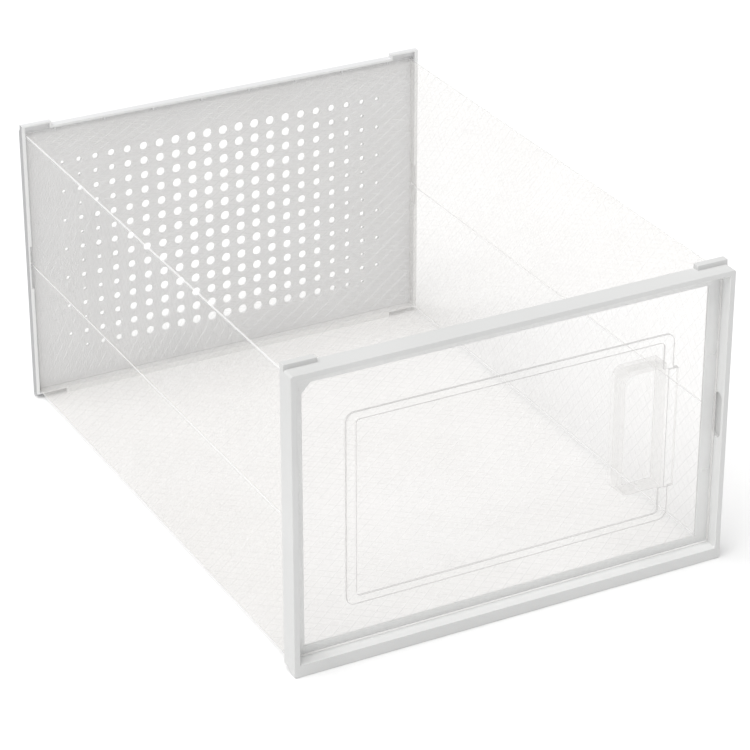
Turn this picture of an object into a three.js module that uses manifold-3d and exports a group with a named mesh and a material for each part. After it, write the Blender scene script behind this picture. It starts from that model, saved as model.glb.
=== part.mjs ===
// A foldable, stackable shoe box: two moulded end frames, a clear hinged door and a clear creased sleeve.
// Millimetres, +Z up. The door faces -Y, and the origin is under the middle of the box.
import * as THREE from "three";
import { mergeVertices } from "three/addons/utils/BufferGeometryUtils.js";
import Module from "manifold-3d";

const wasm = await Module();
wasm.setup();

// Overall size, without the stacking tabs
const WIDTH = 250;
const DEPTH = 340;
const HEIGHT = 168;
const HALF = WIDTH / 2;
const MID_HEIGHT = HEIGHT / 2;
const FRONT = -DEPTH / 2;
const BACK = DEPTH / 2;
const CORNER_RADIUS = 1.5;
const GAP = 0.3; // clearance between neighbouring pieces
const OVER = 1; // how far a cutter runs past the face it cuts

// Front frame: a deep lip round the door, a thin ledge that the door closes on, and a collar behind it
const FRONT_FRAME_DEPTH = 12.2;
const LIP_WALL = 3.1;
const SILL_HEIGHT = 7;
const RECESS_DEPTH = 9;
const LEDGE_THICKNESS = 1.2;
const DOORWAY_HALF = 115;
const DOORWAY_LOW = 11.4;
const DOORWAY_HIGH = 157.7;
const HINGE_GUSSET = 5;
const LEDGE_BACK = RECESS_DEPTH + LEDGE_THICKNESS;

// Collars that hold the ends of the sleeve
const COLLAR_WALL = 2.2;
const COLLAR_FLOOR = 3.8;
const COLLAR_ROOF = 3.2;

// Stacking tabs on top and the notches under them
const TAB_LENGTH = 18;
const TAB_DEPTH = 4.2;
const TAB_HEIGHT = 2.7;
const NOTCH_LENGTH = 18.8;
const NOTCH_DEPTH = 5;
const NOTCH_HEIGHT = 3;

// Blind stadium pockets half way up the stiles, and the snap pips that the door closes on
const POCKET_HEIGHT = 26;
const POCKET_WIDTH = 7;
const POCKET_DEPTH = 1.6;
const PIP_RADIUS = 0.7;
const PIP_HEIGHT = 0.5;
const PIP_SPREAD = 33.5;
const PIP_INSETS = [7, 4.2];

// Back frame: a shallow tray, as a rim and the perforated panel that closes it
const BACK_FRAME_DEPTH = 6;
const PANEL_THICKNESS = 1.6;
const TRAY_ROOF = 1.4;
const BACK_CHAMFER = 1.8;
const BACK_TAB_DEPTH = 3.2;
const BACK_TAB_HEIGHT = 2.7;
const TAB_SKIN = 1.3;
const RIM_POCKET_DEPTH = 1;
const NUB_PITCH = 30;
const NUB_COUNT = 8;
const NUB_RADIUS = 0.8;

// Perforations: full size in the middle, smaller towards the sides
const HOLE_COLUMNS = 21;
const HOLE_ROWS = 14;
const HOLE_PITCH_X = 10;
const HOLE_PITCH_Z = 9;
const HOLE_RADIUS = 2.8;
const HOLE_SIDES = 6;
const HOLE_SHRINK = 0.62;
const HOLE_SHRINK_POWER = 2.2;
const ALTERNATE_COLUMNS = 5; // columns from each side whose every other hole is smaller
const SMALLEST_HOLE = 0.7;

// Sleeve: one thin sheet, creased along four corners and half way up each side
const SHEET = 0.8;
const SLEEVE_HALF = HALF - COLLAR_WALL - GAP;
const SLEEVE_LOW = COLLAR_FLOOR + GAP;
const SLEEVE_HIGH = HEIGHT - COLLAR_ROOF - GAP;
const SLEEVE_CREASE = (SLEEVE_LOW + SLEEVE_HIGH) / 2;
const SLEEVE_FRONT = FRONT + LEDGE_BACK + GAP;
const SLEEVE_BACK = BACK - PANEL_THICKNESS - GAP;

// Door: a clear plate with a raised border, a recessed finger pull and two hinge pins
const DOOR_THICKNESS = 2;
const DOOR_FACE = 6.2; // from the front of the frame to the front of the plate
const DOOR_LEFT = -121.2;
const DOOR_RIGHT = 121.5;
const DOOR_CLEARANCE = 0.6;
const DOOR_LOW = SILL_HEIGHT + DOOR_CLEARANCE;
const DOOR_HIGH = HEIGHT - LIP_WALL - DOOR_CLEARANCE;
const BORDER_HALF_WIDTH = 93.5;
const BORDER_HALF_HEIGHT = 54;
const BORDER_SIDE_BAND = 5.9;
const BORDER_LEVEL_BAND = 4.7;
const BORDER_RISE = 1.2;
const BORDER_RADIUS = 5;
const BORDER_INNER_RADIUS = 2;
const PULL_LEFT = 66;
const PULL_RIGHT = 90;
const PULL_HALF_HEIGHT = 34.4;
const PULL_DEPTH = 12.2;
const PULL_WALL = 1.4;
const PULL_RADIUS = 5;
const GRIP_WIDTH = 6;
const GRIP_RISE = 2.2;
const PIN_X = -120;
const PIN_DEPTH = DOOR_FACE + DOOR_THICKNESS / 2;
const PIN_RADIUS = 1;
const PIN_LENGTH = 2.3;
const PIN_CLEARANCE = 0.3;
const ROUND_STEPS = 4;

const WHITE_FRONT = { color: 0xe6e6e4, roughness: 0.42 };
const WHITE_BACK = { color: 0xdcdddd, roughness: 0.48 };
const CLEAR_DOOR = { color: 0xf4f5f4, roughness: 0.08 };
const CLEAR_SHEET = { color: 0xf3f1ee, roughness: 0.2 };

// ---- solids ----

function solid(geometry) {
  geometry.deleteAttribute("normal");
  geometry.deleteAttribute("uv");
  const merged = mergeVertices(geometry, 1e-4);
  const vertProperties = merged.attributes.position.array;
  const triVerts = new Uint32Array(merged.index.array);
  return new wasm.Manifold(new wasm.Mesh({ numProp: 3, vertProperties, triVerts }));
}

function block(low, high) {
  const size = high.map((value, i) => value - low[i]);
  const geometry = new THREE.BoxGeometry(...size);
  geometry.translate(...low.map((value, i) => value + size[i] / 2));
  return solid(geometry);
}

// A shape drawn in X and Z, extruded along Y from yLow to yHigh.
function alongDepth(shape, yLow, yHigh) {
  const geometry = new THREE.ExtrudeGeometry(shape, {
    depth: yHigh - yLow,
    bevelEnabled: false,
    curveSegments: ROUND_STEPS,
  });
  geometry.rotateX(Math.PI / 2);
  geometry.translate(0, yHigh, 0);
  return solid(geometry);
}

// A shape drawn in Y and Z, extruded along X from xLow to xHigh.
function alongWidth(shape, xLow, xHigh) {
  const geometry = new THREE.ExtrudeGeometry(shape, {
    depth: xHigh - xLow,
    bevelEnabled: false,
    curveSegments: ROUND_STEPS * 2,
  });
  geometry.rotateX(Math.PI / 2);
  geometry.rotateZ(Math.PI / 2);
  geometry.translate(xLow, 0, 0);
  return solid(geometry);
}

function upright(x, y, zLow, zHigh, radius) {
  const geometry = new THREE.CylinderGeometry(radius, radius, zHigh - zLow, ROUND_STEPS * 3);
  geometry.rotateX(Math.PI / 2);
  geometry.translate(x, y, (zLow + zHigh) / 2);
  return solid(geometry);
}

// A short round bar along Y.
function pip(x, z, yLow, yHigh, radius, sides = ROUND_STEPS * 2) {
  const geometry = new THREE.CylinderGeometry(radius, radius, yHigh - yLow, sides);
  geometry.translate(x, (yLow + yHigh) / 2, z);
  return solid(geometry);
}

const join = (first, ...others) => others.reduce((sum, other) => sum.add(other), first);
const cut = (from, ...cutters) => cutters.reduce((rest, cutter) => rest.subtract(cutter), from);

// ---- outlines, in X and Z ----

// A rectangle whose corners have the radii leftLow, rightLow, rightHigh and leftHigh.
function rectangle(xLow, xHigh, zLow, zHigh, radii = [0, 0, 0, 0]) {
  const [leftLow, rightLow, rightHigh, leftHigh] = radii;
  const shape = new THREE.Shape();
  shape.moveTo(xLow + leftLow, zLow);
  shape.lineTo(xHigh - rightLow, zLow);
  if (rightLow) shape.absarc(xHigh - rightLow, zLow + rightLow, rightLow, -Math.PI / 2, 0);
  shape.lineTo(xHigh, zHigh - rightHigh);
  if (rightHigh) shape.absarc(xHigh - rightHigh, zHigh - rightHigh, rightHigh, 0, Math.PI / 2);
  shape.lineTo(xLow + leftHigh, zHigh);
  if (leftHigh) shape.absarc(xLow + leftHigh, zHigh - leftHigh, leftHigh, Math.PI / 2, Math.PI);
  shape.lineTo(xLow, zLow + leftLow);
  if (leftLow) shape.absarc(xLow + leftLow, zLow + leftLow, leftLow, Math.PI, Math.PI * 1.5);
  return shape;
}

const rounded = (xLow, xHigh, zLow, zHigh, radius) =>
  rectangle(xLow, xHigh, zLow, zHigh, [radius, radius, radius, radius]);

const outline = () => rounded(-HALF, HALF, 0, HEIGHT, CORNER_RADIUS);

// The doorway, with a gusset across the corner beside the upper hinge pin.
function doorway() {
  const shape = new THREE.Shape();
  shape.moveTo(-DOORWAY_HALF, DOORWAY_LOW);
  shape.lineTo(DOORWAY_HALF, DOORWAY_LOW);
  shape.lineTo(DOORWAY_HALF, DOORWAY_HIGH);
  shape.lineTo(-DOORWAY_HALF + HINGE_GUSSET, DOORWAY_HIGH);
  shape.lineTo(-DOORWAY_HALF, DOORWAY_HIGH - HINGE_GUSSET);
  return shape;
}

// An upright stadium in Y and Z, centred on y.
function stadium(y) {
  const radius = POCKET_WIDTH / 2;
  const rise = POCKET_HEIGHT / 2 - radius;
  const shape = new THREE.Shape();
  shape.moveTo(y + radius, MID_HEIGHT - rise);
  shape.lineTo(y + radius, MID_HEIGHT + rise);
  shape.absarc(y, MID_HEIGHT + rise, radius, 0, Math.PI);
  shape.lineTo(y - radius, MID_HEIGHT - rise);
  shape.absarc(y, MID_HEIGHT - rise, radius, Math.PI, Math.PI * 2);
  return shape;
}

// ---- end frames ----

// The room for an end of the sleeve.
const collar = (yLow, yHigh) =>
  block([-HALF + COLLAR_WALL, yLow, COLLAR_FLOOR], [HALF - COLLAR_WALL, yHigh, HEIGHT - COLLAR_ROOF]);

// A box at the left or right end of the width, from the side face inwards.
function endBlock(side, length, yLow, yHigh, zLow, zHigh, past = 0) {
  const outer = HALF + past;
  const inner = HALF - length;
  return side < 0
    ? block([-outer, yLow, zLow], [-inner, yHigh, zHigh])
    : block([inner, yLow, zLow], [outer, yHigh, zHigh]);
}

function wallPocket(side) {
  const wall = HALF - LIP_WALL;
  const centre = FRONT + RECESS_DEPTH - GAP - POCKET_WIDTH / 2;
  const [xLow, xHigh] = [wall - OVER, wall + POCKET_DEPTH];
  return side < 0
    ? alongWidth(stadium(centre), -xHigh, -xLow)
    : alongWidth(stadium(centre), xLow, xHigh);
}

function snapPips() {
  const ledge = FRONT + RECESS_DEPTH;
  const heights = [MID_HEIGHT - PIP_SPREAD, MID_HEIGHT + PIP_SPREAD];
  return heights.flatMap((z) =>
    PIP_INSETS.map((inset) => pip(HALF - inset, z, ledge - PIP_HEIGHT, ledge + PIP_HEIGHT, PIP_RADIUS)),
  );
}

function frontFrame() {
  const back = FRONT + FRONT_FRAME_DEPTH;
  const roof = HEIGHT - LIP_WALL;
  const recess = rectangle(-HALF + LIP_WALL, HALF - LIP_WALL, SILL_HEIGHT, roof);
  const hole = PIN_RADIUS + PIN_CLEARANCE;
  const reach = PIN_LENGTH + PIN_CLEARANCE;
  const tabs = [-1, 1].map((side) =>
    endBlock(side, TAB_LENGTH, back - TAB_DEPTH, back, roof + GAP, HEIGHT + TAB_HEIGHT),
  );
  const notches = [-1, 1].map((side) =>
    endBlock(side, NOTCH_LENGTH, back - NOTCH_DEPTH, back + OVER, -OVER, NOTCH_HEIGHT, OVER),
  );
  const body = cut(
    join(alongDepth(outline(), FRONT, back), ...tabs),
    alongDepth(recess, FRONT - OVER, FRONT + RECESS_DEPTH),
    alongDepth(doorway(), FRONT - OVER, back + OVER),
    collar(FRONT + LEDGE_BACK, back + OVER),
    wallPocket(-1),
    wallPocket(1),
    upright(PIN_X, FRONT + PIN_DEPTH, DOOR_LOW - reach, DOOR_LOW, hole),
    upright(PIN_X, FRONT + PIN_DEPTH, DOOR_HIGH, DOOR_HIGH + reach, hole),
    ...notches,
  );
  return join(body, ...snapPips());
}

// How much smaller than full size a hole is, by its distance from the middle column.
function holeRadius(column, row) {
  const fromMiddle = Math.abs(column - (HOLE_COLUMNS - 1) / 2);
  const fromSide = (HOLE_COLUMNS - 1) / 2 - fromMiddle;
  const share = fromMiddle / ((HOLE_COLUMNS - 1) / 2);
  const radius = HOLE_RADIUS * (1 - HOLE_SHRINK * share ** HOLE_SHRINK_POWER);
  const alternate = row % 2 === 0 ? 1 : Math.min(1, (fromSide + 1) / ALTERNATE_COLUMNS);
  return radius * Math.sqrt(alternate);
}

function perforations() {
  const holes = [];
  for (let column = 0; column < HOLE_COLUMNS; column++) {
    for (let row = 0; row < HOLE_ROWS; row++) {
      const outermost = column === 0 || column === HOLE_COLUMNS - 1;
      if (outermost && row % 2) continue;
      const x = (column - (HOLE_COLUMNS - 1) / 2) * HOLE_PITCH_X;
      const z = MID_HEIGHT + ((HOLE_ROWS - 1) / 2 - row) * HOLE_PITCH_Z;
      const radius = Math.max(SMALLEST_HOLE, holeRadius(column, row));
      holes.push(pip(x, z, BACK - PANEL_THICKNESS - OVER, BACK + OVER, radius, HOLE_SIDES));
    }
  }
  return holes;
}

// The tray body: a block whose four rear edges are chamfered.
function trayBody() {
  const slope = new THREE.Shape();
  slope.moveTo(BACK - BACK_CHAMFER, 0);
  slope.lineTo(BACK + OVER, 0);
  slope.lineTo(BACK + OVER, BACK_CHAMFER + OVER);
  const along = new THREE.ExtrudeGeometry(slope, { depth: WIDTH + 2 * OVER, bevelEnabled: false });
  along.rotateX(Math.PI / 2);
  along.rotateZ(Math.PI / 2);
  along.translate(-HALF - OVER, 0, 0);
  const low = solid(along);
  const high = low.mirror([0, 0, 1]).translate([0, 0, HEIGHT]);
  const upSide = new THREE.ExtrudeGeometry(slope, { depth: HEIGHT + 2 * OVER, bevelEnabled: false });
  upSide.rotateZ(Math.PI / 2);
  upSide.translate(HALF, 0, -OVER);
  const right = solid(upSide);
  return cut(alongDepth(outline(), BACK - BACK_FRAME_DEPTH, BACK), low, high, right, right.mirror([1, 0, 0]));
}

function backTab(side) {
  const rim = BACK - BACK_FRAME_DEPTH;
  return endBlock(side, TAB_LENGTH, rim, rim + BACK_TAB_DEPTH, HEIGHT - TRAY_ROOF, HEIGHT + BACK_TAB_HEIGHT);
}

// The hollow inside a tab, open to the inside of the box.
function backTabHollow(side) {
  const rim = BACK - BACK_FRAME_DEPTH;
  const outer = HALF - COLLAR_WALL;
  const inner = HALF - TAB_LENGTH + TAB_SKIN;
  const low = [inner, rim - OVER, HEIGHT - 2 * COLLAR_ROOF];
  const high = [outer, rim + BACK_TAB_DEPTH - TAB_SKIN, HEIGHT + BACK_TAB_HEIGHT - TAB_SKIN];
  return side < 0 ? block([-high[0], low[1], low[2]], [-low[0], high[1], high[2]]) : block(low, high);
}

function rimPocket(side) {
  const rim = BACK - BACK_FRAME_DEPTH;
  const wall = HALF - COLLAR_WALL;
  const [zLow, zHigh] = [MID_HEIGHT - POCKET_HEIGHT / 2, MID_HEIGHT + POCKET_HEIGHT / 2];
  const yHigh = BACK - PANEL_THICKNESS;
  return side < 0
    ? block([-wall - RIM_POCKET_DEPTH, rim - OVER, zLow], [-wall + OVER, yHigh, zHigh])
    : block([wall - OVER, rim - OVER, zLow], [wall + RIM_POCKET_DEPTH, yHigh, zHigh]);
}

// Pips that hang from the tray's roof and hold the sleeve down.
function roofNubs() {
  const y = BACK - BACK_FRAME_DEPTH + NUB_RADIUS * 2;
  return Array.from({ length: NUB_COUNT }, (_, i) => {
    const x = (i - (NUB_COUNT - 1) / 2) * NUB_PITCH;
    return upright(x, y, SLEEVE_HIGH + GAP, HEIGHT - TRAY_ROOF / 2, NUB_RADIUS);
  });
}

// Everything in front of the perforated panel: the collar, its tabs, notches and pips.
function backRim() {
  const rim = BACK - BACK_FRAME_DEPTH;
  const room = block(
    [-HALF + COLLAR_WALL, rim - OVER, COLLAR_FLOOR],
    [HALF - COLLAR_WALL, BACK + OVER, HEIGHT - TRAY_ROOF],
  );
  const behind = block(
    [-HALF - OVER, BACK - PANEL_THICKNESS - GAP, -OVER],
    [HALF + OVER, BACK + OVER, HEIGHT + OVER],
  );
  const notches = [-1, 1].map((side) =>
    endBlock(side, NOTCH_LENGTH, rim - OVER, rim + NOTCH_DEPTH - OVER, -OVER, NOTCH_HEIGHT, OVER),
  );
  const shell = cut(join(trayBody(), backTab(-1), backTab(1)), room, behind, ...notches);
  const hollowed = cut(shell, backTabHollow(-1), backTabHollow(1), rimPocket(-1), rimPocket(1));
  return join(hollowed, ...roofNubs());
}

function backPanel() {
  const inFront = block(
    [-HALF - OVER, BACK - BACK_FRAME_DEPTH - OVER, -OVER],
    [HALF + OVER, BACK - PANEL_THICKNESS, HEIGHT + OVER],
  );
  return cut(trayBody(), inFront, ...perforations());
}

// ---- door ----

function raisedBorder() {
  const [left, right] = [-BORDER_HALF_WIDTH, BORDER_HALF_WIDTH];
  const [low, high] = [MID_HEIGHT - BORDER_HALF_HEIGHT, MID_HEIGHT + BORDER_HALF_HEIGHT];
  const face = FRONT + DOOR_FACE;
  const outer = alongDepth(rounded(left, right, low, high, BORDER_RADIUS), face - BORDER_RISE, face + GAP);
  const inner = rounded(
    left + BORDER_SIDE_BAND,
    right - BORDER_SIDE_BAND,
    low + BORDER_LEVEL_BAND,
    high - BORDER_LEVEL_BAND,
    BORDER_INNER_RADIUS,
  );
  return cut(outer, alongDepth(inner, face - BORDER_RISE - OVER, face + OVER));
}

// The outline of the finger pull, grown by margin: round on the left, square beside the grip.
function pullOutline(margin) {
  const radius = PULL_RADIUS + margin;
  return rectangle(
    PULL_LEFT - margin,
    PULL_RIGHT + margin,
    MID_HEIGHT - PULL_HALF_HEIGHT - margin,
    MID_HEIGHT + PULL_HALF_HEIGHT + margin,
    [radius, 0, 0, radius],
  );
}

function door() {
  const face = FRONT + DOOR_FACE;
  const back = face + DOOR_THICKNESS;
  const pinY = FRONT + PIN_DEPTH;
  const grip = block(
    [PULL_RIGHT, face - GRIP_RISE, MID_HEIGHT - PULL_HALF_HEIGHT],
    [PULL_RIGHT + GRIP_WIDTH, face + GAP, MID_HEIGHT + PULL_HALF_HEIGHT],
  );
  const body = join(
    block([DOOR_LEFT, face, DOOR_LOW], [DOOR_RIGHT, back, DOOR_HIGH]),
    raisedBorder(),
    grip,
    alongDepth(pullOutline(PULL_WALL), face + GAP, face + PULL_DEPTH),
    upright(PIN_X, pinY, DOOR_LOW - PIN_LENGTH, DOOR_LOW + OVER, PIN_RADIUS),
    upright(PIN_X, pinY, DOOR_HIGH - OVER, DOOR_HIGH + PIN_LENGTH, PIN_RADIUS),
  );
  return cut(body, alongDepth(pullOutline(0), face - GRIP_RISE - OVER, face + PULL_DEPTH - PULL_WALL));
}

// ---- sleeve ----

const levelPanel = (zLow) =>
  block([-SLEEVE_HALF, SLEEVE_FRONT, zLow], [SLEEVE_HALF, SLEEVE_BACK, zLow + SHEET]);

function sidePanel(side, zLow, zHigh) {
  const [near, far] = [SLEEVE_HALF - SHEET, SLEEVE_HALF];
  return side < 0
    ? block([-far, SLEEVE_FRONT, zLow], [-near, SLEEVE_BACK, zHigh])
    : block([near, SLEEVE_FRONT, zLow], [far, SLEEVE_BACK, zHigh]);
}

const lowerPanel = (side) => sidePanel(side, SLEEVE_LOW + SHEET + GAP, SLEEVE_CREASE - GAP / 2);
const upperPanel = (side) => sidePanel(side, SLEEVE_CREASE + GAP / 2, SLEEVE_HIGH - SHEET - GAP);

// ---- assembly ----

function part(name, body, look) {
  const { vertProperties, triVerts } = body.getMesh();
  const geometry = new THREE.BufferGeometry();
  geometry.setAttribute("position", new THREE.BufferAttribute(vertProperties, 3));
  geometry.setIndex(new THREE.BufferAttribute(triVerts, 1));
  geometry.computeVertexNormals();
  const mesh = new THREE.Mesh(geometry, new THREE.MeshStandardMaterial({ ...look, metalness: 0 }));
  mesh.name = name;
  return mesh;
}

const shoeBox = new THREE.Group();
shoeBox.add(
  part("front_frame", frontFrame(), WHITE_FRONT),
  part("back_rim", backRim(), WHITE_BACK),
  part("back_panel", backPanel(), WHITE_BACK),
  part("door", door(), CLEAR_DOOR),
  part("sleeve_bottom", levelPanel(SLEEVE_LOW), CLEAR_SHEET),
  part("sleeve_top", levelPanel(SLEEVE_HIGH - SHEET), CLEAR_SHEET),
  part("sleeve_left_lower", lowerPanel(-1), CLEAR_SHEET),
  part("sleeve_left_upper", upperPanel(-1), CLEAR_SHEET),
  part("sleeve_right_lower", lowerPanel(1), CLEAR_SHEET),
  part("sleeve_right_upper", upperPanel(1), CLEAR_SHEET),
);

export default shoeBox;
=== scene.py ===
"""A foldable shoe box: white end frames, a clear door and a clear sleeve. Metres, +Z up."""
import math

import bmesh
import bpy
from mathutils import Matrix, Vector


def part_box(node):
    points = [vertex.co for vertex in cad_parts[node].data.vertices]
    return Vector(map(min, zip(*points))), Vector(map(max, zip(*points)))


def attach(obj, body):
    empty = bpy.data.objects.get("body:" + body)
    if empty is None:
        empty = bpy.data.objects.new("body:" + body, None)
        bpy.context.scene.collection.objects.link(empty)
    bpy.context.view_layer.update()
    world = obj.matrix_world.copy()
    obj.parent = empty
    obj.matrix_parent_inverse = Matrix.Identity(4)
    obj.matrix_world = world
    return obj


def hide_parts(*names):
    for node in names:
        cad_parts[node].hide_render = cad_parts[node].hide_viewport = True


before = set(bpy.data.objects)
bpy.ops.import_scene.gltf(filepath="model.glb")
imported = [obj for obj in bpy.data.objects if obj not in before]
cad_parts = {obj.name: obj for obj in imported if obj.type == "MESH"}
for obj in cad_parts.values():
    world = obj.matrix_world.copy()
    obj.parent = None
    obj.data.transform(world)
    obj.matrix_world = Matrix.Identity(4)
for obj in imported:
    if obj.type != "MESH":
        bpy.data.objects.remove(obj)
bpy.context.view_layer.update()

MM = 0.001

# Camera: where it stands round the object, and the point it is aimed at, along its own right and up
AZIMUTH = math.radians(-27.88)
ELEVATION = math.radians(27.43)
DISTANCE = 1.6908
AIM_RIGHT, AIM_UP = 0.0085, 0.0540
LENS, SENSOR = 146.5, 36.0
CLIP_NEAR, CLIP_FAR = 0.05, 60

# Light
SKY = 0.52
SUN_ENERGY, SUN_SPREAD = 2.2, math.radians(55)
SUN_LEFT, SUN_AHEAD = math.radians(22), math.radians(5)
SUN_DISTANCE = 2.0
SEEN_SKY = 1.0
FLOOR_HALF = 6.0
FLOOR_CELLS = 8
FLOOR_TONES = (0.955, 0.955, 0.955), (0.965, 0.965, 0.965)
BOUNCES, CLEAR_LAYERS = 16, 32

# Edges of the mouldings: radii, the narrowest faces rounded, and the angles at which an edge counts
EDGE = 0.4 * MM
FINE_EDGE = 0.25 * MM
NARROW = 1.7 * MM
FINE_NARROW = 1.0 * MM
SMALLEST_FACE = 0.3 * MM ** 2
NOTCH_TOP = 3.2 * MM
SHARP = math.radians(40)
CREASED = math.radians(50)
FLAT = math.radians(0.5)
WELD = 0.01 * MM
ROUND_STEPS = 2
NORMAL_WEIGHT = 80
FACING, SIDEWAYS = 0.9, 0.5

# Door: its roundings, how far the grip stands out from the plate, where the border and the pull are
DOOR_EDGE = 0.32 * MM
GRIP_RISE = 2.2 * MM
BORDER_REACH = 95 * MM
PULL_LOW, PULL_HIGH, PULL_REACH = 60 * MM, 97 * MM, 38 * MM

# How strongly the door's faces are marked as painted grey lines (painted shade where their edges
# bend the light) or as cloudy; roundings start at 1
BORDER_WALL_LINE = 0.9
PULL_ROUNDING, PLAIN_ROUNDING = 0.6, 0.3
PULL_WALL_LINE, PULL_WALL_CLOUD = 0.28, 0.12
GRIP_CLOUD = 0.06
WALL_CLOUD = 0.6

# Faces painted lighter as painted light: the back rim's front, and the front frame's recess inside
# its lip
RIM_LIP = 0.6 * MM
RECESS = 9.1 * MM
LIP_INSIDE = 2.9 * MM
LIP_ABOVE = 5.5 * MM
RECESS_PAINTED_LIGHT = 0.6

# Perforated panel
COLUMNS, ROWS = 21, 14
PITCH_X, PITCH_Z = 10 * MM, 9 * MM
HOLE_RADIUS = 2.8 * MM
HOLE_SHRINK, HOLE_POWER = 0.62, 2.2
ALTERNATE = 5
SMALLEST_HOLE = 0.7 * MM
HOLE_EDGE = 0.25 * MM
HOLE_SIDES = 20
CHAMFER = 1.6 * MM
CORNER = 1.5 * MM
CORNER_STEPS = 4

# Embossed sheet: half diagonals of a diamond across and along the sleeve, and its ridges
HALF_ACROSS, HALF_ALONG = 4.5 * MM, 3.65 * MM
INSET = 0.86
RIDGE = 0.1 * MM
SKIN = 0.5 * MM
FOLD_RADIUS = 0.8 * MM
FOLD_STEPS = 6
CREASE_RADIUS = 0.45 * MM
CREASE_FLATNESS = 0.6
CREASE_SIDES = 12

# How close to a cutting plane counts as on it, and the least divisor
CUT = 1e-7
TINY = 1e-9

# White plastics: darker and lighter tones, roughness and grain
FRONT_TONES = (0.675, 0.678, 0.672), (0.712, 0.714, 0.709)
BACK_TONES = (0.735, 0.738, 0.742), (0.780, 0.783, 0.788)
FRONT_ROUGH, BACK_ROUGH = 0.40, 0.46
FRONT_GRAIN, BACK_GRAIN = 1500, 1100
ROUGH_BELOW, ROUGH_ABOVE = 0.05, 0.07
WHITE_TONE_SCALE, WHITE_GLOSS_SCALE = 14, 90
WHITE_RELIEF = 0.22, 0.03 * MM
# Painted light: a lighter tone for the back rim's front and the front frame's recess
PAINTED_LIGHT_TONE = (0.90, 0.905, 0.90, 1)
# SHADED is painted shade: a darker tone for the back rim's outer sides
SHADED = (0.41, 0.415, 0.42, 1)

# Clear plastics: tones, the haze seen face on, and what grazing views and marked faces add to it
PLASTIC_IOR = 1.49
GRAZING = 0.25
NOISE_LOW, NOISE_HIGH = 0.3, 0.7
HAZE_SCALE = 30
HAZE_LEAST, HAZE_MOST = 0.85, 1.15
DOOR_TONES = (0.95, 0.935, 0.92), (0.985, 0.975, 0.965)
# DOOR_LINE is painted shade: grey on the door's edges and walls where they bend the light
DOOR_LINE = (0.56, 0.555, 0.55, 1)
DOOR_TONE_SCALE, DOOR_GLOSS_SCALE, DOOR_RELIEF_SCALE = 18, 260, 45
DOOR_ROUGH = 0.03, 0.08
DOOR_RELIEF = 0.06, 0.2 * MM
DOOR_HAZE, DOOR_SHINE = 0.04, 0.05
LINE_ALPHA, CLOUD_ALPHA = 0.55, 0.8
SHEET_TONES = (0.78, 0.755, 0.72), (0.83, 0.81, 0.785)
# Painted highlight: white on the sheet's ridges and fold beads
PAINTED_RIDGE_HIGHLIGHT = (0.99, 0.99, 0.99, 1)
SHEET_TONE_SCALE, SHEET_GLOSS_SCALE, SHEET_RELIEF_SCALE = 9, 160, 700
SHEET_ROUGH = 0.12, 0.24
SHEET_RELIEF = 0.06, 0.04 * MM
SHEET_SHINE = 0.07
SHEET_HAZE, SHEET_RIDGE = 0.09, 0.17
FOLD_HAZE, FOLD_RIDGE = 0.08, 0.24


# ---- node materials ----

class Nodes:
    """A new material's node tree, with short ways to add to it."""

    def __init__(self, name):
        self.material = bpy.data.materials.new(name)
        self.material.use_nodes = True
        self.tree = self.material.node_tree
        self.bsdf = self.tree.nodes["Principled BSDF"]
        self.coords = self.tree.nodes.new("ShaderNodeTexCoord").outputs["Object"]

    def add(self, kind, **settings):
        """A node of this kind, with its settings."""
        node = self.tree.nodes.new(kind)
        for key, value in settings.items():
            setattr(node, key, value)
        return node

    def link(self, a, b):
        self.tree.links.new(a, b)

    def noise(self, scale, detail=3.0, rough=0.55):
        """Noise over the object, mostly between NOISE_LOW and NOISE_HIGH."""
        node = self.add("ShaderNodeTexNoise")
        node.inputs["Scale"].default_value = scale
        node.inputs["Detail"].default_value = detail
        node.inputs["Roughness"].default_value = rough
        self.link(self.coords, node.inputs["Vector"])
        return node.outputs["Fac"]

    def spread(self, value, low, high):
        """Noise stretched to run from low to high."""
        node = self.add("ShaderNodeMapRange")
        node.inputs["From Min"].default_value = NOISE_LOW
        node.inputs["From Max"].default_value = NOISE_HIGH
        node.inputs["To Min"].default_value = low
        node.inputs["To Max"].default_value = high
        self.link(value, node.inputs["Value"])
        return node.outputs["Result"]

    def ramp(self, value, low, high):
        """Noise turned into colours from low to high."""
        node = self.add("ShaderNodeValToRGB")
        node.color_ramp.elements[0].position = NOISE_LOW
        node.color_ramp.elements[1].position = NOISE_HIGH
        node.color_ramp.elements[0].color = (*low, 1)
        node.color_ramp.elements[1].color = (*high, 1)
        self.link(value, node.inputs["Fac"])
        return node.outputs["Color"]

    def math(self, operation, a, b):
        """Arithmetic on two values, each a number or another node's output."""
        node = self.add("ShaderNodeMath", operation=operation)
        for socket, value in zip(node.inputs, (a, b)):
            if isinstance(value, (int, float)):
                socket.default_value = value
            else:
                self.link(value, socket)
        return node.outputs["Value"]

    def mix(self, share, base, colour):
        """The base colour, turning to the other colour by share."""
        node = self.add("ShaderNodeMix", data_type="RGBA")
        self.link(share, node.inputs["Factor"])
        self.link(base, node.inputs["A"])
        node.inputs["B"].default_value = colour
        return node.outputs["Result"]

    def bump(self, height, strength, distance):
        """Fine relief on the surface."""
        node = self.add("ShaderNodeBump")
        node.inputs["Strength"].default_value = strength
        node.inputs["Distance"].default_value = distance
        self.link(height, node.inputs["Height"])
        self.link(node.outputs["Normal"], self.bsdf.inputs["Normal"])


def mark(n, name):
    """A number kept on each face or vertex, 0 where there is none."""
    return n.add("ShaderNodeAttribute", attribute_name=name).outputs["Fac"]


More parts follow.
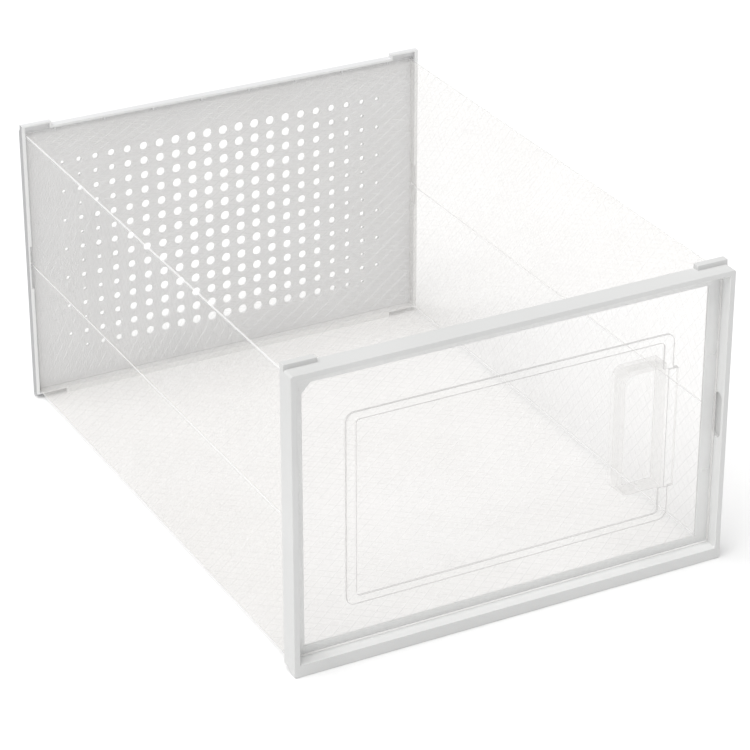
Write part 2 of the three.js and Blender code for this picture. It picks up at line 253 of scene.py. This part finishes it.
def moulded(name, tones, rough, grain):
    """White moulded plastic: a fine grain, slow changes of tone and gloss, and painted light and
    painted shade on marked faces.
    """
    n = Nodes(name)
    # Faces marked painted_light turn to the painted light tone
    tone = n.mix(mark(n, "painted_light"), n.ramp(n.noise(WHITE_TONE_SCALE, 2), *tones), PAINTED_LIGHT_TONE)
    # Faces marked shade turn to SHADED, a painted shade
    n.link(n.mix(mark(n, "shade"), tone, SHADED), n.bsdf.inputs["Base Color"])
    gloss = n.spread(n.noise(WHITE_GLOSS_SCALE, 4), rough - ROUGH_BELOW, rough + ROUGH_ABOVE)
    n.link(gloss, n.bsdf.inputs["Roughness"])
    n.bsdf.inputs["IOR"].default_value = PLASTIC_IOR
    n.bump(n.noise(grain, 4, 0.6), *WHITE_RELIEF)
    return n.material


def see_through(n, share, shine):
    """Sets clear plastic's index, and returns the alpha that haze and grazing views give it."""
    n.bsdf.inputs["IOR"].default_value = PLASTIC_IOR
    graze = n.add("ShaderNodeLayerWeight")
    graze.inputs["Blend"].default_value = GRAZING
    haze = n.spread(n.noise(HAZE_SCALE, 3), share * HAZE_LEAST, share * HAZE_MOST)
    return n.math("ADD", haze, n.math("MULTIPLY", graze.outputs["Facing"], shine))


def clear_moulding(name):
    """Clear moulded plastic: painted grey lines, a painted shade where its edges bend the light,
    cloudier in its walls.
    """
    n = Nodes(name)
    edge, cloud = mark(n, "edge"), mark(n, "cloud")
    tone = n.ramp(n.noise(DOOR_TONE_SCALE, 2), *DOOR_TONES)
    n.link(n.mix(edge, tone, DOOR_LINE), n.bsdf.inputs["Base Color"])
    n.link(n.spread(n.noise(DOOR_GLOSS_SCALE, 3), *DOOR_ROUGH), n.bsdf.inputs["Roughness"])
    lines = n.math("MULTIPLY", edge, LINE_ALPHA)
    marked = n.math("ADD", lines, n.math("MULTIPLY", cloud, CLOUD_ALPHA))
    n.link(n.math("ADD", see_through(n, DOOR_HAZE, DOOR_SHINE), marked), n.bsdf.inputs["Alpha"])
    n.bump(n.noise(DOOR_RELIEF_SCALE, 2), *DOOR_RELIEF)
    return n.material


def clear_sheet(name, haze, ridge_alpha):
    """Thin clear sheet: a faint warm haze, a painted white highlight on its ridges, denser in
    grazing views.
    """
    n = Nodes(name)
    ridge = mark(n, "ridge")
    tone = n.ramp(n.noise(SHEET_TONE_SCALE, 2), *SHEET_TONES)
    # Painted highlight: the ridges turn white
    n.link(n.mix(ridge, tone, PAINTED_RIDGE_HIGHLIGHT), n.bsdf.inputs["Base Color"])
    n.link(n.spread(n.noise(SHEET_GLOSS_SCALE, 3), *SHEET_ROUGH), n.bsdf.inputs["Roughness"])
    lines = n.math("MULTIPLY", ridge, ridge_alpha)
    n.link(n.math("ADD", see_through(n, haze, SHEET_SHINE), lines), n.bsdf.inputs["Alpha"])
    n.bump(n.noise(SHEET_RELIEF_SCALE, 3), *SHEET_RELIEF)
    return n.material


# ---- meshes ----

def finished(name, bm, material, body, slot, *nodes):
    """Makes a piece from bm, facing outwards; its square edges are marked sharp."""
    bmesh.ops.recalc_face_normals(bm, faces=bm.faces)
    if bm.calc_volume(signed=True) < 0:
        bmesh.ops.reverse_faces(bm, faces=bm.faces)
    for edge in bm.edges:
        edge.smooth = edge.calc_face_angle(0) < CREASED
    mesh = bpy.data.meshes.new(name)
    bm.to_mesh(mesh)
    bm.free()
    mesh.materials.append(material)
    piece = bpy.data.objects.new(name, mesh)
    bpy.context.scene.collection.objects.link(piece)
    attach(piece, body)
    if nodes:
        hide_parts(*nodes)
    return piece


def weighted(piece):
    """Shades a moulding smoothly over its roundings and flat elsewhere; square edges stay crisp."""
    for polygon in piece.data.polygons:
        polygon.use_smooth = True
    modifier = piece.modifiers.new("weighted", "WEIGHTED_NORMAL")
    modifier.keep_sharp = True
    modifier.weight = NORMAL_WEIGHT


def outer_edge(edge, narrow):
    """Whether an edge is a square outside one between faces wide enough to be rounded."""
    smallest = min(f.calc_area() for f in edge.link_faces)
    wide = smallest > max(SMALLEST_FACE, narrow * edge.calc_length())
    return wide and edge.is_convex and edge.calc_face_angle(0) > SHARP


def moulding(node, edge, narrow, spared=lambda v: False):
    """A CAD node's solid, its flat faces merged and its outside edges rounded and marked."""
    bm = bmesh.new()
    bm.from_mesh(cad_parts[node].data)
    bmesh.ops.remove_doubles(bm, verts=bm.verts, dist=WELD)
    bmesh.ops.dissolve_limit(bm, angle_limit=FLAT, verts=bm.verts, edges=bm.edges)
    sharp = [
        e for e in bm.edges
        if outer_edge(e, narrow) and not all(spared(v.co) for v in e.verts)
    ]
    layer = bm.faces.layers.float.new("edge")
    rounded = bmesh.ops.bevel(
        bm, geom=sharp, offset=edge, segments=ROUND_STEPS, profile=0.5, affect="EDGES",
        clamp_overlap=False,
    )
    for face in rounded["faces"]:
        face[layer] = 1.0
    bmesh.ops.dissolve_degenerate(bm, dist=WELD / 2, edges=bm.edges)
    return bm


def ring_walls(bm, a, b):
    """A band of faces from one closed ring of vertices to another."""
    for i in range(len(a)):
        j = (i + 1) % len(a)
        bm.faces.new([a[i], a[j], b[j], b[i]])


def hole_radius(column, row):
    """Holes shrink towards the sides, those of every other row sooner."""
    middle = (COLUMNS - 1) / 2
    away = abs(column - middle)
    radius = HOLE_RADIUS * (1 - HOLE_SHRINK * (away / middle) ** HOLE_POWER)
    if row % 2:
        radius *= math.sqrt(min(1, (middle - away + 1) / ALTERNATE))
    return max(SMALLEST_HOLE, radius)


def cell_border(cx, cz):
    """Points round a cell's border, as (angle step, x, z); a corner has a half step."""
    half_x, half_z = PITCH_X / 2, PITCH_Z / 2
    points = []
    step = 2 * math.pi / HOLE_SIDES
    corner = math.atan2(half_z, half_x)
    corners = [corner, math.pi - corner, math.pi + corner, 2 * math.pi - corner]
    for i in range(HOLE_SIDES):
        a = i * step
        reach = min(half_x / max(abs(math.cos(a)), TINY), half_z / max(abs(math.sin(a)), TINY))
        points.append((i, cx + reach * math.cos(a), cz + reach * math.sin(a)))
        for c in corners:
            if a < c < a + step:
                sx, sz = math.copysign(half_x, math.cos(c)), math.copysign(half_z, math.sin(c))
                points.append((i + 0.5, cx + sx, cz + sz))
    return points


def add_cell(bm, cx, cz, radius, y_front, y_back):
    """One cell of the panel, both faces and the wall of its hole; radius None leaves it whole."""
    border = cell_border(cx, cz)
    for y in (y_front, y_back):
        ring = {k: bm.verts.new((x, y, z)) for k, x, z in border}
        if radius is None:
            bm.faces.new(list(ring.values()))
            continue
        rim = circle(bm, cx, cz, radius + HOLE_EDGE, y)
        for i in range(HOLE_SIDES):
            j = (i + 1) % HOLE_SIDES
            corner = [ring[i + 0.5]] if i + 0.5 in ring else []
            bm.faces.new([rim[i], rim[j], ring[j], *corner, ring[i]])
    if radius is None:
        return
    levels = [
        (y_front, radius + HOLE_EDGE),
        (y_front + HOLE_EDGE, radius),
        (y_back - HOLE_EDGE, radius),
        (y_back, radius + HOLE_EDGE),
    ]
    rings = [circle(bm, cx, cz, r, y) for y, r in levels]
    for a, b in zip(rings, rings[1:]):
        ring_walls(bm, a, b)


def circle(bm, cx, cz, radius, y):
    """A ring of HOLE_SIDES vertices."""
    turn = 2 * math.pi / HOLE_SIDES
    return [
        bm.verts.new((cx + radius * math.cos(i * turn), y, cz + radius * math.sin(i * turn)))
        for i in range(HOLE_SIDES)
    ]


def outline(x_half, z_low, z_high, radius):
    """Four corner arcs of points, counter-clockwise from the lower left."""
    centres = [
        (-x_half + radius, z_low + radius, math.pi),
        (x_half - radius, z_low + radius, 1.5 * math.pi),
        (x_half - radius, z_high - radius, 0.0),
        (-x_half + radius, z_high - radius, 0.5 * math.pi),
    ]
    arcs = []
    for cx, cz, start in centres:
        turns = [start + i * math.pi / 2 / CORNER_STEPS for i in range(CORNER_STEPS + 1)]
        arcs.append([(cx + radius * math.cos(a), cz + radius * math.sin(a)) for a in turns])
    return arcs


def add_cells(bm, middle, y_front, y_back):
    """The grid of cells; in the outermost columns every other cell has no hole."""
    for column in range(COLUMNS):
        for row in range(ROWS):
            cx = (column - (COLUMNS - 1) / 2) * PITCH_X
            cz = middle + ((ROWS - 1) / 2 - row) * PITCH_Z
            whole = column in (0, COLUMNS - 1) and row % 2
            radius = None if whole else hole_radius(column, row)
            add_cell(bm, cx, cz, radius, y_front, y_back)
    bmesh.ops.remove_doubles(bm, verts=bm.verts, dist=WELD)


def add_margin(bm, middle, y, arcs):
    """One face's margin, from the grid out to arcs; returns its outer ring of vertices."""
    rings = [[bm.verts.new((x, y, z)) for x, z in arc] for arc in arcs]
    outer = [v for ring in rings for v in ring]
    border = [v for v in bm.verts if abs(v.co.y - y) < WELD and v.is_boundary and v not in outer]
    half_x, half_z = COLUMNS * PITCH_X / 2, ROWS * PITCH_Z / 2
    for k, (upright, sign) in enumerate(((1, -1), (0, 1), (1, 1), (0, -1))):
        edge = middle + sign * half_z if upright else sign * half_x
        run = [v for v in border if abs((v.co.z if upright else v.co.x) - edge) < WELD]
        run.sort(key=lambda v: v.co.x if upright else v.co.z, reverse=k in (0, 1))
        a, b = rings[k], rings[(k + 1) % 4]
        near = a if k % 2 == 0 else a[-1:]
        far = b if k % 2 == 0 else b[:1]
        bm.faces.new([*near, *far, *run])
    return outer


def add_panel(bm):
    """The perforated panel with its chamfered outside, to be joined to the rim in front of it."""
    low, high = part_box("back_panel")
    middle = (low.z + high.z) / 2
    add_cells(bm, middle, low.y, high.y)
    margins = []
    for y, inset in ((low.y, 0.0), (high.y, CHAMFER)):
        arcs = outline(high.x - inset, low.z + inset, high.z - inset, CORNER)
        margins.append(add_margin(bm, middle, y, arcs))
    ring_walls(bm, *margins)


def add_diamond(bm, ends, centre):
    """One flat diamond, and the four slopes up to the ridges between its ends."""
    flat = [bm.verts.new(centre + (Vector((e.co.x, e.co.y, 0)) - centre) * INSET) for e in ends]
    bm.faces.new(flat)
    ring_walls(bm, ends, flat)


def trim(bm, across, along):
    """Cuts the lattice off square at the low and high ends of both spans."""
    for point, normal in (
        ((across[0], 0, 0), (-1, 0, 0)),
        ((across[1], 0, 0), (1, 0, 0)),
        ((0, along[0], 0), (0, -1, 0)),
        ((0, along[1], 0), (0, 1, 0)),
    ):
        bmesh.ops.bisect_plane(
            bm, geom=[*bm.verts, *bm.edges, *bm.faces], plane_co=point, plane_no=normal,
            clear_outer=True, dist=CUT,
        )


def lattice(across, along):
    """A flat embossed sheet between its low and high ends; ridges are marked 1 on layer ridge."""
    bm = bmesh.new()
    layer = bm.verts.layers.float.new("ridge")
    points = {}

    def steps(span, half):
        return range(math.floor(span[0] / half) - 1, math.ceil(span[1] / half) + 2)

    def crossing(i, j):
        if (i, j) not in points:
            points[i, j] = bm.verts.new((i * HALF_ACROSS, j * HALF_ALONG, RIDGE))
            points[i, j][layer] = 1.0
        return points[i, j]

    for i in steps(across, HALF_ACROSS):
        for j in steps(along, HALF_ALONG):
            if (i + j) % 2:
                around = ((i + 1, j), (i, j + 1), (i - 1, j), (i, j - 1))
                ends = [crossing(*at) for at in around]
                add_diamond(bm, ends, Vector((i * HALF_ACROSS, j * HALF_ALONG, 0)))
    trim(bm, across, along)
    return bm, layer


def embossed(across, along, place):
    """The sheet with its thickness and a flat inner face, carried to its wall by place."""
    bm, layer = lattice(across, along)
    rim = [e for e in bm.edges if e.is_boundary]
    grown = bmesh.ops.extrude_edge_only(bm, edges=rim)["geom"]
    lower = [v for v in grown if isinstance(v, bmesh.types.BMVert)]
    for v in lower:
        v.co.z = -SKIN
        v[layer] = 0.0
    bmesh.ops.holes_fill(bm, edges=[e for e in bm.edges if e.is_boundary], sides=0)
    for v in bm.verts:
        v.co = place(v.co)
    return bm


def sweep(profile, y_low, y_high):
    """A closed profile drawn out along the sleeve, all of it marked as ridge."""
    bm = bmesh.new()
    layer = bm.verts.layers.float.new("ridge")
    rings = [[bm.verts.new((x, y, z)) for x, z in profile] for y in (y_low, y_high)]
    for ring in rings:
        bm.faces.new(ring)
    ring_walls(bm, *rings)
    for v in bm.verts:
        v[layer] = 1.0
    return bm


def fold_bead(cx, cz, turn, y_low, y_high):
    """A quarter-round fold along the sleeve, centred on its inner corner."""
    profile = []
    for radius, order in ((FOLD_RADIUS, 1), (FOLD_RADIUS - SKIN, -1)):
        steps = [turn + i * math.pi / 2 / FOLD_STEPS for i in range(FOLD_STEPS + 1)][::order]
        profile += [(cx + radius * math.cos(a), cz + radius * math.sin(a)) for a in steps]
    return sweep(profile, y_low, y_high)


def crease_bead(cx, cz, y_low, y_high):
    """A small flattened bead half way up a side, where the sheet is creased."""
    turns = [2 * math.pi * i / CREASE_SIDES for i in range(CREASE_SIDES)]
    flat = CREASE_RADIUS * CREASE_FLATNESS
    profile = [(cx + flat * math.cos(a), cz + CREASE_RADIUS * math.sin(a)) for a in turns]
    return sweep(profile, y_low, y_high)


# ---- the box ----

WHITE_FRONT = moulded("white_front", FRONT_TONES, FRONT_ROUGH, FRONT_GRAIN)
WHITE_BACK = moulded("white_back", BACK_TONES, BACK_ROUGH, BACK_GRAIN)
CLEAR_DOOR = clear_moulding("clear_door")
SHEET = clear_sheet("clear_sheet", SHEET_HAZE, SHEET_RIDGE)
FOLD = clear_sheet("fold_line", FOLD_HAZE, FOLD_RIDGE)


def build_front_frame():
    """The deep front frame; the recess inside its lip is partly painted lighter, a painted light.
    """
    bm = moulding("front_frame", EDGE, NARROW)
    painted_light = bm.faces.layers.float.new("painted_light")
    (_, front, low), (side, _, high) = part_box("front_frame")
    for face in bm.faces:
        at = face.calc_center_median()
        inside = abs(at.x) < side - LIP_INSIDE and low + LIP_INSIDE < at.z < high - LIP_ABOVE
        # Painted light: the recess faces turn lighter
        if inside and front + WELD < at.y < front + RECESS:
            face[painted_light] = RECESS_PAINTED_LIGHT
    weighted(finished(
        "front_frame_moulding", bm, WHITE_FRONT, "front_frame", "front_plastic", "front_frame",
    ))


def build_back_frame():
    """The back frame, rim and perforated panel in one; the rim's rear is drawn up to the panel."""
    (_, rim_front, _), (rim_side, rim_back, _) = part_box("back_rim")
    panel_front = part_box("back_panel")[0].y

    def spared(at):
        return at.y > rim_back - WELD or at.z < NOTCH_TOP

    bm = moulding("back_rim", FINE_EDGE, FINE_NARROW, spared)
    painted_light, shade = bm.faces.layers.float.new("painted_light"), bm.faces.layers.float.new("shade")
    for face in bm.faces:
        at = face.calc_center_median()
        # Painted light: the rim's front faces turn lighter
        if face.normal.y < -FACING and at.y < rim_front + RIM_LIP:
            face[painted_light] = 1.0
        # Painted shade: the rim's outer sides turn darker
        elif abs(face.normal.x) > FACING and abs(at.x) > rim_side - RIM_LIP:
            face[shade] = 1.0
    for v in bm.verts:
        if v.co.y > rim_back - WELD:
            v.co.y = panel_front
    add_panel(bm)
    weighted(finished(
        "back_frame_moulding", bm, WHITE_BACK, "back_frame", "back_plastic",
        "back_rim", "back_panel",
    ))


def build_door():
    """The clear door; its border, its finger pull and its walls are marked as painted grey lines, a
    painted shade, and as cloud.
    """
    bm = moulding("door", DOOR_EDGE, FINE_NARROW)
    low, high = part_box("door")
    edge, cloud = bm.faces.layers.float["edge"], bm.faces.layers.float.new("cloud")
    plate, middle = low.y + GRIP_RISE, (low.z + high.z) / 2
    for face in bm.faces:
        at, normal = face.calc_center_median(), face.normal
        border = at.y < plate + WELD and at.x < BORDER_REACH
        pull = not border and PULL_LOW < at.x < PULL_HIGH and abs(at.z - middle) < PULL_REACH
        wall = abs(normal.y) < SIDEWAYS and not face[edge]
        grip = normal.y < -FACING and at.y < plate - WELD
        if border:
            face[edge] = BORDER_WALL_LINE if wall else face[edge]
        elif pull:
            face[edge] *= PULL_ROUNDING
            if grip or wall and normal.x < -FACING:
                face[cloud] = GRIP_CLOUD
            elif wall:
                face[edge], face[cloud] = PULL_WALL_LINE, PULL_WALL_CLOUD
        elif wall:
            face[cloud] = WALL_CLOUD
        else:
            face[edge] *= PLAIN_ROUNDING
    weighted(finished("clear_door_moulding", bm, CLEAR_DOOR, "door", "clear_door", "door"))


def build_sleeve():
    """The sleeve's six panels, its four folds and its two creases."""
    low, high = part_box("sleeve_bottom")[0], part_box("sleeve_top")[1]
    along = (low.y, high.y)
    x_face, floor, roof = high.x, low.z, high.z
    flat_x = (-x_face + FOLD_RADIUS, x_face - FOLD_RADIUS)
    crease = (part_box("sleeve_left_lower")[1].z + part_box("sleeve_left_upper")[0].z) / 2
    lower = (floor + FOLD_RADIUS, crease)
    upper = (crease, roof - FOLD_RADIUS)

    def panel(name, across, place, body):
        finished(name + "_sheet", embossed(across, along, place), SHEET, body, "clear_sheet", name)

    panel("sleeve_bottom", flat_x, lambda p: Vector((p.x, p.y, floor + RIDGE - p.z)), "sleeve_base")
    panel("sleeve_top", flat_x, lambda p: Vector((p.x, p.y, roof - RIDGE + p.z)), "top")
    for side, name in ((-1, "left"), (1, "right")):
        def wall(p, side=side):
            return Vector((side * (x_face - RIDGE + p.z), p.y, p.x))

        panel(f"sleeve_{name}_lower", lower, wall, f"{name}_lower")
        panel(f"sleeve_{name}_upper", upper, wall, f"{name}_upper")
        inner = side * (x_face - FOLD_RADIUS)
        turns = (math.pi, math.pi / 2) if side < 0 else (1.5 * math.pi, 0.0)
        low_fold = fold_bead(inner, floor + FOLD_RADIUS, turns[0], *along)
        high_fold = fold_bead(inner, roof - FOLD_RADIUS, turns[1], *along)
        bead = crease_bead(side * (x_face - SKIN / 2), crease, *along)
        finished(f"fold_{name}_low", low_fold, FOLD, "sleeve_base", "clear_sheet")
        finished(f"fold_{name}_high", high_fold, FOLD, "top", "clear_sheet")
        finished(f"crease_{name}", bead, FOLD, f"{name}_lower", "clear_sheet")


# ---- stage ----

def build_floor():
    """A plain, matt, pale floor."""
    bm = bmesh.new()
    bmesh.ops.create_grid(bm, x_segments=FLOOR_CELLS, y_segments=FLOOR_CELLS, size=FLOOR_HALF)
    mesh = bpy.data.meshes.new("floor")
    bm.to_mesh(mesh)
    bm.free()
    n = Nodes("floor_white")
    n.link(n.ramp(n.noise(2, 2), *FLOOR_TONES), n.bsdf.inputs["Base Color"])
    n.bsdf.inputs["Roughness"].default_value = 1.0
    n.bsdf.inputs["Specular IOR Level"].default_value = 0.0
    mesh.materials.append(n.material)
    floor = bpy.data.objects.new("floor", mesh)
    bpy.context.scene.collection.objects.link(floor)


def build_sky():
    """An even white surround, plain white where the camera sees it."""
    world = bpy.data.worlds.new("studio")
    bpy.context.scene.world = world
    world.use_nodes = True
    tree = world.node_tree
    sky, backdrop = tree.nodes["Background"], tree.nodes.new("ShaderNodeBackground")
    for node, strength in ((sky, SKY), (backdrop, SEEN_SKY)):
        node.inputs["Color"].default_value = (1, 1, 1, 1)
        node.inputs["Strength"].default_value = strength
    seen = tree.nodes.new("ShaderNodeLightPath")
    mix = tree.nodes.new("ShaderNodeMixShader")
    tree.links.new(seen.outputs["Is Camera Ray"], mix.inputs["Fac"])
    tree.links.new(sky.outputs["Background"], mix.inputs[1])
    tree.links.new(backdrop.outputs["Background"], mix.inputs[2])
    tree.links.new(mix.outputs["Shader"], tree.nodes["World Output"].inputs["Surface"])


def build_light():
    """One wide soft light from above, a little to the left."""
    light = bpy.data.lights.new("softbox", "SUN")
    light.energy = SUN_ENERGY
    light.angle = SUN_SPREAD
    lamp = bpy.data.objects.new("softbox", light)
    bpy.context.scene.collection.objects.link(lamp)
    towards = Vector((-math.tan(SUN_LEFT), -math.tan(SUN_AHEAD), 1)).normalized()
    lamp.rotation_mode = "QUATERNION"
    lamp.rotation_quaternion = towards.to_track_quat("Z", "Y")
    lamp.location = towards * SUN_DISTANCE


def build_camera():
    """The camera at the photographed angle, with no shift and no depth of field."""
    data = bpy.data.cameras.new("camera")
    data.lens, data.sensor_width = LENS, SENSOR
    data.clip_start, data.clip_end = CLIP_NEAR, CLIP_FAR
    camera = bpy.data.objects.new("camera", data)
    bpy.context.scene.collection.objects.link(camera)
    back = Vector((
        math.sin(AZIMUTH) * math.cos(ELEVATION),
        -math.cos(AZIMUTH) * math.cos(ELEVATION),
        math.sin(ELEVATION),
    ))
    right = Vector((math.cos(AZIMUTH), math.sin(AZIMUTH), 0))
    up = back.cross(right)
    camera.location = right * AIM_RIGHT + up * AIM_UP + back * DISTANCE
    camera.rotation_mode = "QUATERNION"
    camera.rotation_quaternion = (-back).to_track_quat("-Z", "Y")
    bpy.context.scene.camera = camera


build_camera()
build_floor()
build_sky()
build_light()
build_front_frame()
build_back_frame()
build_door()
build_sleeve()

scene = bpy.context.scene
scene.cycles.transparent_max_bounces = CLEAR_LAYERS
scene.cycles.transmission_bounces = BOUNCES
scene.cycles.max_bounces = BOUNCES
scene.view_settings.view_transform = "Standard"

bpy.context.view_layer.update()
